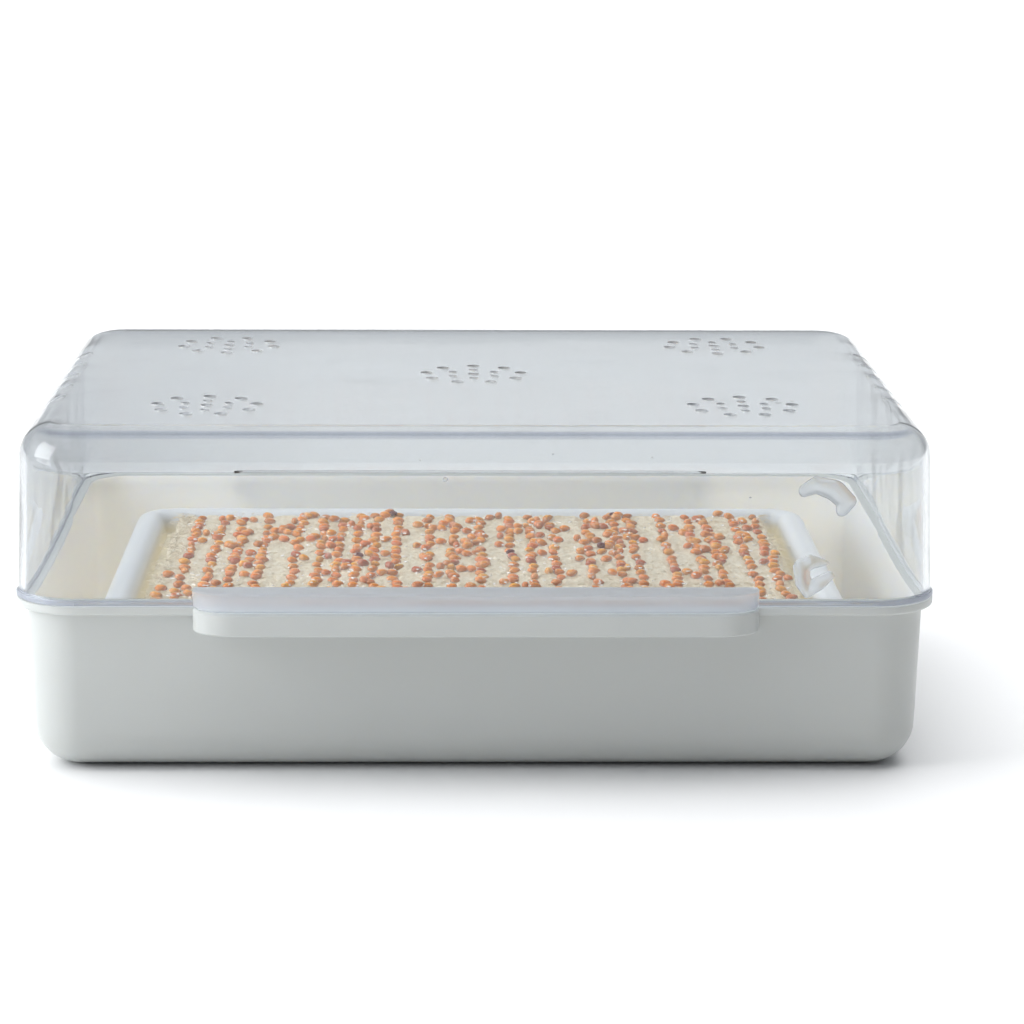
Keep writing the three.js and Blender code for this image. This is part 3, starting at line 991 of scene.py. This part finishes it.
def make_specks(material):
    """Small milky drops of jelly on and between the seeds."""
    on_mat, on_seed = 0.05, 1.35
    size_ranges = ((0.25, 0.8), (0.2, 0.45), (0.14, 0.28))
    draw = random.Random(12)
    places = []
    for _ in range(SPECK_COUNT):
        strayed = draw.choice(ROW_X) + draw.gauss(0, SPECK_SPREAD)
        x = max(-SPECK_LIMIT_X, min(SPECK_LIMIT_X, strayed))
        y = draw.uniform(-SPECK_LIMIT_Y, SPECK_LIMIT_Y)
        lift = draw.choice((on_mat, on_mat, on_seed))
        size = [draw.uniform(*ends) for ends in size_ranges]
        centre = Matrix.Translation((x, y, mat_surface(x, y) + lift))
        turn = Matrix.Rotation(draw.uniform(0, math.pi), 4, "Z")
        places.append(centre @ turn @ Matrix.Diagonal((*size, 1)))
    return mesh_object("jelly_specks", *scatter(seed_shape(5, 8), places), material, 180)


# Water on the lid


def water_run(name, balls, material):
    """A run of water clinging to the front wall, through balls given as (x, z, radius)."""
    flatness, between = 0.36, 6
    places = []
    for (x0, z0, r0), (x1, z1, r1) in zip(balls, balls[1:]):
        for k in range(between):
            t = k / between
            radius = r0 + (r1 - r0) * t
            centre = Matrix.Translation((x0 + (x1 - x0) * t, WATER_Y, z0 + (z1 - z0) * t))
            places.append(centre @ Matrix.Diagonal((radius, flatness * radius, radius, 1)))
    run = mesh_object(name, *scatter(seed_shape(10, 14), places), material, 180)
    return melt_together(run, WATER_GRAIN, 10)


def make_hanging_drops(material):
    """Flat drops that hang from the underside of the lid's top."""
    height, flatness = TOTAL_HEIGHT - LID_TOP - 0.1, 0.4
    places = [
        Matrix.Translation((x, y, height)) @ Matrix.Diagonal((r, r, flatness * r, 1))
        for x, y, r in HANGING_DROPS
    ]
    return mesh_object("hanging_drops", *scatter(seed_shape(8, 12), places), material, 180)


# Everything in place


# Two copies of one white plastic: the darker one on the tray's outer faces and rim is painted
# shade, the brighter, warmer one on the faces turned into the tray is painted light.
shaded_outside = white_plastic("white_plastic", (0.52, 0.54, 0.53), (0.56, 0.58, 0.565), 0.1, 0.006)
lit_inside = white_plastic(
    "white_plastic_lit_inside", (0.94, 0.905, 0.85), (0.96, 0.93, 0.88), 0.95, 0.012
)
show(make_tray(shaded_outside, lit_inside), "white_plastic", "tray")
# The flange's grey-blue is partly the clear plastic's edge tint and partly painted shade; the
# darker copy for its left side is painted shade.
lid_flange_tint_and_shade = frosted_plastic("lid_flange_tint_and_shade", (0.48, 0.51, 0.58), (0.57, 0.60, 0.67), 0.7)
lid_side_painted_shade = frosted_plastic("lid_side_painted_shade", (0.30, 0.33, 0.41), (0.40, 0.43, 0.52), 0.6)
lid_grip = frosted_plastic("lid_grip", (0.82, 0.84, 0.87), (0.89, 0.91, 0.94), 0.88)
vent_walls = frosted_plastic("vent_walls", (0.80, 0.82, 0.86), (0.86, 0.88, 0.90), 0.5)
lid = make_lid(clear_plastic(), lid_flange_tint_and_shade, lid_side_painted_shade, lid_grip, vent_walls)
show(lid, "clear_plastic", "lid")
show(make_insert(insert_plastic()), "insert_plastic", "insert")
fibre = wet_fibre()
mat = show(make_mat(fibre), "wet_fibre", "mat")
show(make_fibres(fibre), "wet_fibre")

seed_coat = wet_seed()
jelly_finish = seed_jelly("seed_jelly", 0.9)
for row, sown in enumerate(sow_rows()):
    row_name = f"{row + 1:02d}"
    row_points, row_faces = scatter(seed_shape(), [seed_matrix(place) for place in sown])
    seeds = mesh_object(f"seeds_{row_name}", row_points, row_faces, seed_coat, 180)
    show(seeds, "wet_seed", f"seed_row_{row_name}")
    show(make_jelly(f"jelly_{row_name}", sown, jelly_finish), "wet_seed")

show(make_specks(seed_jelly("milky_jelly", 0.3)), "wet_seed")
strays = random.Random(91)
odd = [seed_matrix(sow(strays, x, y)) for x, y in ODD_SEEDS]
show(mesh_object("odd_seeds", *scatter(seed_shape(), odd), odd_seed(), 180), "wet_seed")

water = clear_water()
show(make_hanging_drops(water), "clear_plastic")
for number, (x, z, radius) in enumerate(WALL_DROPS):
    drop = [(x, z, radius), (x + 0.3 * radius, z, 0.9 * radius)]
    show(water_run(f"drop_{number + 1}", drop, water), "clear_plastic")
show(water_run("water_run_upper", UPPER_RUN, water), "clear_plastic")
show(water_run("water_run_lower", LOWER_RUN, water), "clear_plastic")


# Floor, light and camera


def soft_sun(name, tilt, width, strength):
    """A wide soft light from above, leaned by degrees to the back and to the left."""
    data = bpy.data.lights.new(name, "SUN")
    data.angle = math.radians(width)
    data.energy = strength
    lamp = add_object(name, data)
    lamp.rotation_euler = (math.radians(tilt[0]), math.radians(tilt[1]), 0)
    lamp.visible_glossy = False
    lamp.visible_transmission = False


def softbox(name, place, target, size, power, colour):
    """A rectangular soft light that faces a point."""
    data = bpy.data.lights.new(name, "AREA")
    data.shape = "RECTANGLE"
    data.size, data.size_y = size
    data.energy = power
    data.color = colour
    lamp = add_object(name, data)
    lamp.location = place
    aim = Vector(target) - Vector(place)
    lamp.rotation_euler = aim.to_track_quat("-Z", "Y").to_euler()


def make_studio():
    """The room: dark in front and to the right, paler behind and to the left."""
    room = Look("studio", "worlds")
    direction = room.node("ShaderNodeTexCoord", output="Generated")
    towards = room.node(
        "ShaderNodeVectorMath",
        {"operation": "DOT_PRODUCT"},
        {0: direction, 1: (-0.55, 0.75, 0.36)},
        output="Value",
    )
    sockets = {"Value": towards, "From Min": -0.5, "From Max": 0.7}
    backwards = room.node("ShaderNodeMapRange", None, sockets)
    wall = room.ramp(backwards, (0.0, (0.08, 0.08, 0.09)), (1.0, (0.66, 0.69, 0.72)))
    glow = room.node("ShaderNodeBackground", None, {"Color": wall})
    room.node("ShaderNodeOutputWorld", None, {"Surface": glow})
    bpy.context.scene.world = room.owner


def make_floor(material):
    """A plain floor just under the tray."""
    half, height = 6000, -0.2
    corners = [(x * half, y * half, height) for x, y in ((-1, -1), (1, -1), (1, 1), (-1, 1))]
    floor = mesh_object("floor", corners, [(0, 1, 2, 3)], material)


def make_camera():
    """The photograph's view: a long lens a little to the left of the middle, looking down."""
    eye = Vector(CAMERA_PLACE) * MM
    pitch, yaw, roll = (math.radians(a) for a in (CAMERA_PITCH, CAMERA_YAW, CAMERA_ROLL))
    forward = Vector((
        math.sin(yaw) * math.cos(pitch), math.cos(yaw) * math.cos(pitch), -math.sin(pitch)
    ))
    level = Vector((math.cos(yaw), -math.sin(yaw), 0))
    above = level.cross(forward)
    right = math.cos(roll) * level + math.sin(roll) * above
    up = math.cos(roll) * above - math.sin(roll) * level
    data = bpy.data.cameras.new("camera")
    data.sensor_width = FILM_WIDTH
    data.lens = FILM_WIDTH * FOCAL_PIXELS / IMAGE_WIDTH
    data.clip_start = 0.01
    camera = add_object("camera", data)
    camera.matrix_world = Matrix((
        (right.x, up.x, -forward.x, eye.x),
        (right.y, up.y, -forward.y, eye.y),
        (right.z, up.z, -forward.z, eye.z),
        (0, 0, 0, 1),
    ))
    bpy.context.scene.camera = camera


make_floor(pale_floor())
make_camera()
soft_sun("overhead", tilt=(-18, -10), width=84, strength=3.0)
softbox(
    "window", place=(-0.47, -0.2, 0.24), target=(-0.08, -0.05, 0.05), size=(0.3, 0.32), power=1.5,
    colour=(0.97, 0.985, 1),
)
make_studio()
bpy.context.scene.view_settings.view_transform = "Standard"
